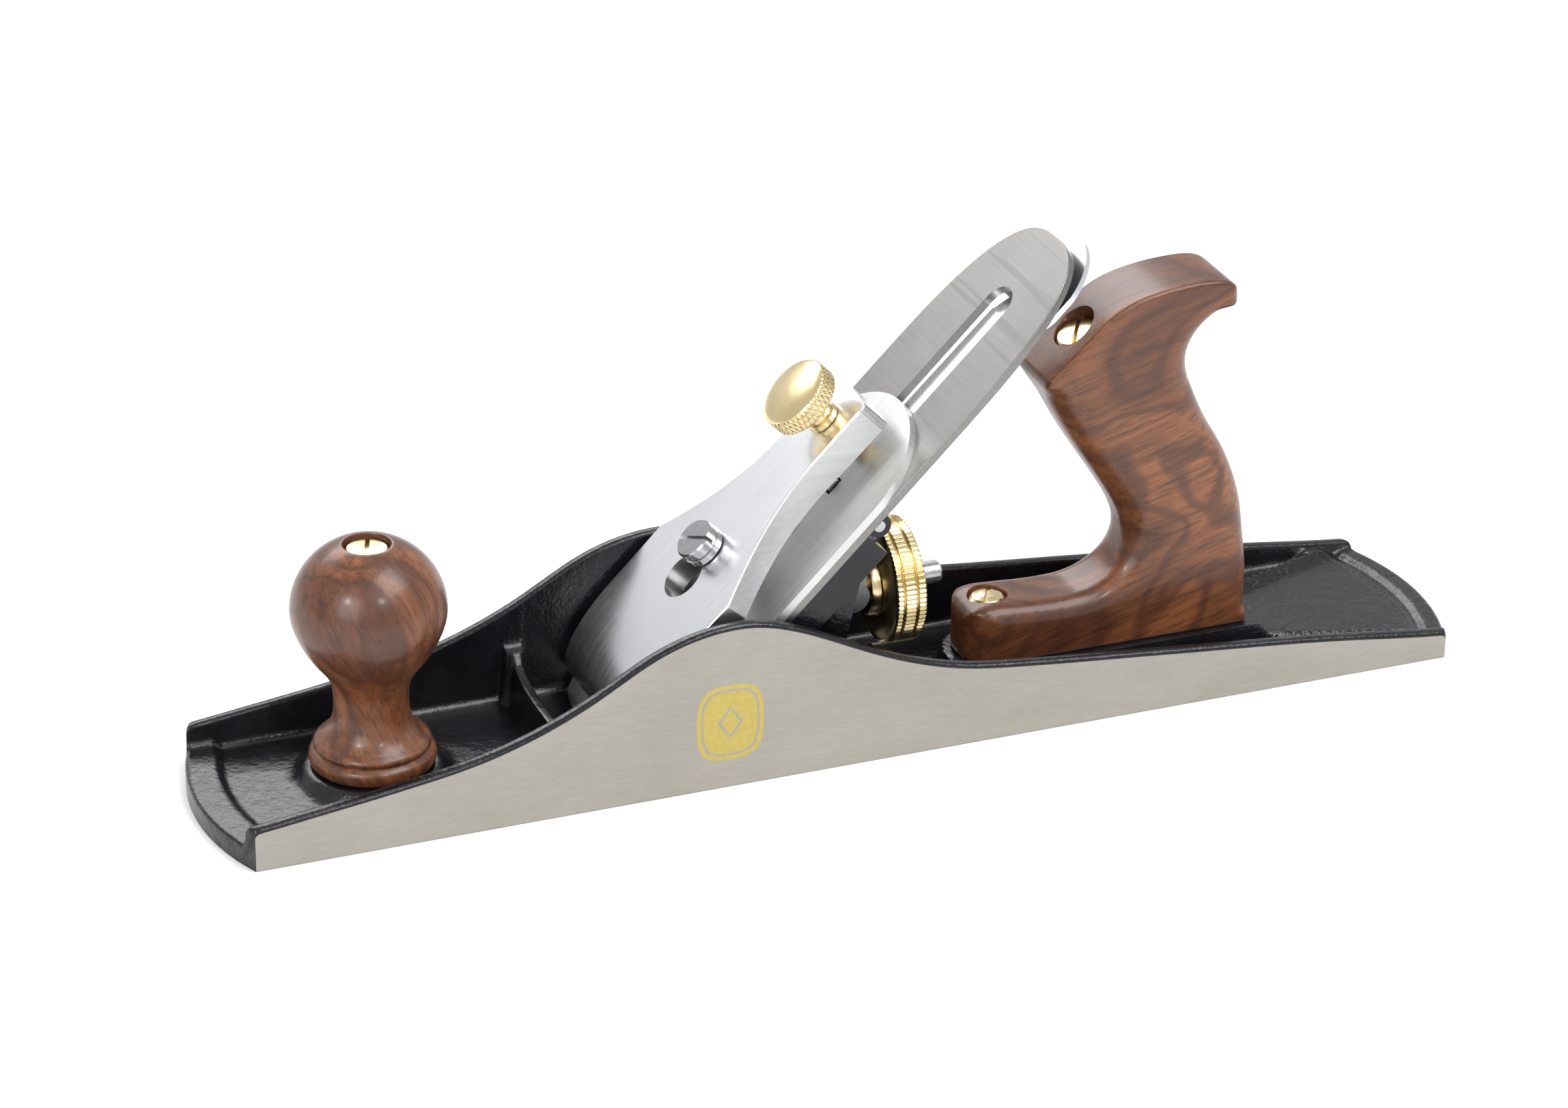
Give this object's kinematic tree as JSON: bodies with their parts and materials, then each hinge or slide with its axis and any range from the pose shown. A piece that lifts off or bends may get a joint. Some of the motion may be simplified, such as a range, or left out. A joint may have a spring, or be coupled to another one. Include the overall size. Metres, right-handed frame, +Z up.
{
  "type": "bench plane",
  "caption": "Iron bench plane of jack size: a double iron on a 45 degree bed under a lever cap, with a brass depth wheel, a turned front knob and a shaped rear tote.",
  "frame": {"origin": "centre of the sole's underside, midway between toe and heel and between the sides", "axes": "+X to the toe (front), +Y to the plane's left, +Z up from the sole"},
  "size_m": [0.3556, 0.0636, 0.1296],
  "materials": {
    "japanned_casting": "gloss black japanning inside, ground bare sole, sides and rims",
    "frog_casting": "gloss black japanning",
    "rosewood": "red-brown hardwood under satin lacquer",
    "brass": "turned and polished",
    "plain_steel": "plain turned or sheet steel",
    "yoke_steel": "pressed grey steel",
    "ground_steel": "surface-ground tool steel",
    "nickel_plate": "polished nickel plate"
  },
  "bodies": {
    "plane_body": {"plane_body": "japanned_casting", "front_knob": "rosewood", "knob_stud": "plain_steel", "knob_nut": "brass", "tote": "rosewood", "tote_rod": "plain_steel", "tote_nut": "brass", "tote_toe_screw": "brass", "frog_screws": "plain_steel", "frog_screw_washers": "plain_steel"},
    "frog": {"frog": "frog_casting", "frog_clip": "plain_steel", "frog_clip_screw": "plain_steel", "adjuster_stud": "plain_steel", "yoke_pin": "plain_steel", "lateral_rivet": "plain_steel", "lever_cap_screw": "nickel_plate"},
    "frog_adjusting_screw": {"frog_adjusting_screw": "plain_steel"},
    "iron_carriage": {"cap_iron_screw": "plain_steel"},
    "irons": {"cutting_iron": "ground_steel", "cap_iron": "ground_steel"},
    "yoke_lever": {"yoke_lever": "yoke_steel"},
    "wheel_collar": {"wheel_collar": "brass"},
    "depth_wheel": {"depth_wheel": "brass"},
    "lateral_lever": {"lateral_lever": "plain_steel"},
    "lateral_roller": {"lateral_roller": "plain_steel"},
    "lever_cap": {"lever_cap": "nickel_plate"},
    "lever_cap_thumbscrew": {"lever_cap_thumbscrew": "brass"}
  },
  "joints": [
    {"name": "frog_slide", "type": "slide", "parent": "plane_body", "child": "frog", "axis": [1, 0, 0], "range_m": [-0.001, 0.001]},
    {"name": "frog_screw_turn", "type": "hinge", "parent": "frog", "child": "frog_adjusting_screw", "pos_m": [-0.01, 0, 0.0132], "axis": [1, 0, 0], "range_deg": [-362, 362]},
    {"name": "blade_slide", "type": "slide", "parent": "frog", "child": "iron_carriage", "axis": [-0.7071, 0, 0.7071], "range_m": [-0.0012, 0.002]},
    {"name": "lateral_tilt", "type": "hinge", "parent": "iron_carriage", "child": "irons", "pos_m": [0.01134, 0, 0.05586], "axis": [0.7071, 0, 0.7071], "range_deg": [-1.2, 1.2]},
    {"name": "yoke_swing", "type": "hinge", "parent": "frog", "child": "yoke_lever", "pos_m": [-0.00881, 0, 0.05834], "axis": [0, 1, 0], "range_deg": [-8.6, 5.2]},
    {"name": "wheel_travel", "type": "slide", "parent": "frog", "child": "wheel_collar", "axis": [1, 0, 0], "range_m": [-0.00196, 0.00326]},
    {"name": "wheel_spin", "type": "hinge", "parent": "wheel_collar", "child": "depth_wheel", "pos_m": [-0.0105, 0, 0.0364], "axis": [1, 0, 0], "range_deg": [-1110, 670]},
    {"name": "lateral_lever_swing", "type": "hinge", "parent": "frog", "child": "lateral_lever", "pos_m": [-0.0127, 0, 0.0799], "axis": [0.7071, 0, 0.7071], "range_deg": [-3.9, 3.9]},
    {"name": "roller_spin", "type": "hinge", "parent": "lateral_lever", "child": "lateral_roller", "pos_m": [-0.0069, 0, 0.07411], "axis": [0.7071, 0, 0.7071], "continuous": true},
    {"name": "lever_cap_slide", "type": "slide", "parent": "frog", "child": "lever_cap", "axis": [-0.7071, 0, 0.7071], "range_m": [0, 0.0095]},
    {"name": "thumbscrew_turn", "type": "hinge", "parent": "lever_cap", "child": "lever_cap_thumbscrew", "pos_m": [0.00568, 0, 0.0898], "axis": [0.7071, 0, 0.7071], "range_deg": [0, 1080]}
  ],
  "couplings": [
    {"joint": "frog_screw_turn", "follows": "frog_slide", "rad_per_m": 6283.2},
    {"joint": "yoke_swing", "follows": "blade_slide", "rad_per_m": -73.529},
    {"joint": "wheel_travel", "follows": "blade_slide", "ratio": 1.613},
    {"joint": "wheel_spin", "follows": "blade_slide", "rad_per_m": -9560.9},
    {"joint": "lateral_lever_swing", "follows": "lateral_tilt", "ratio": -3.1463}
  ]
}
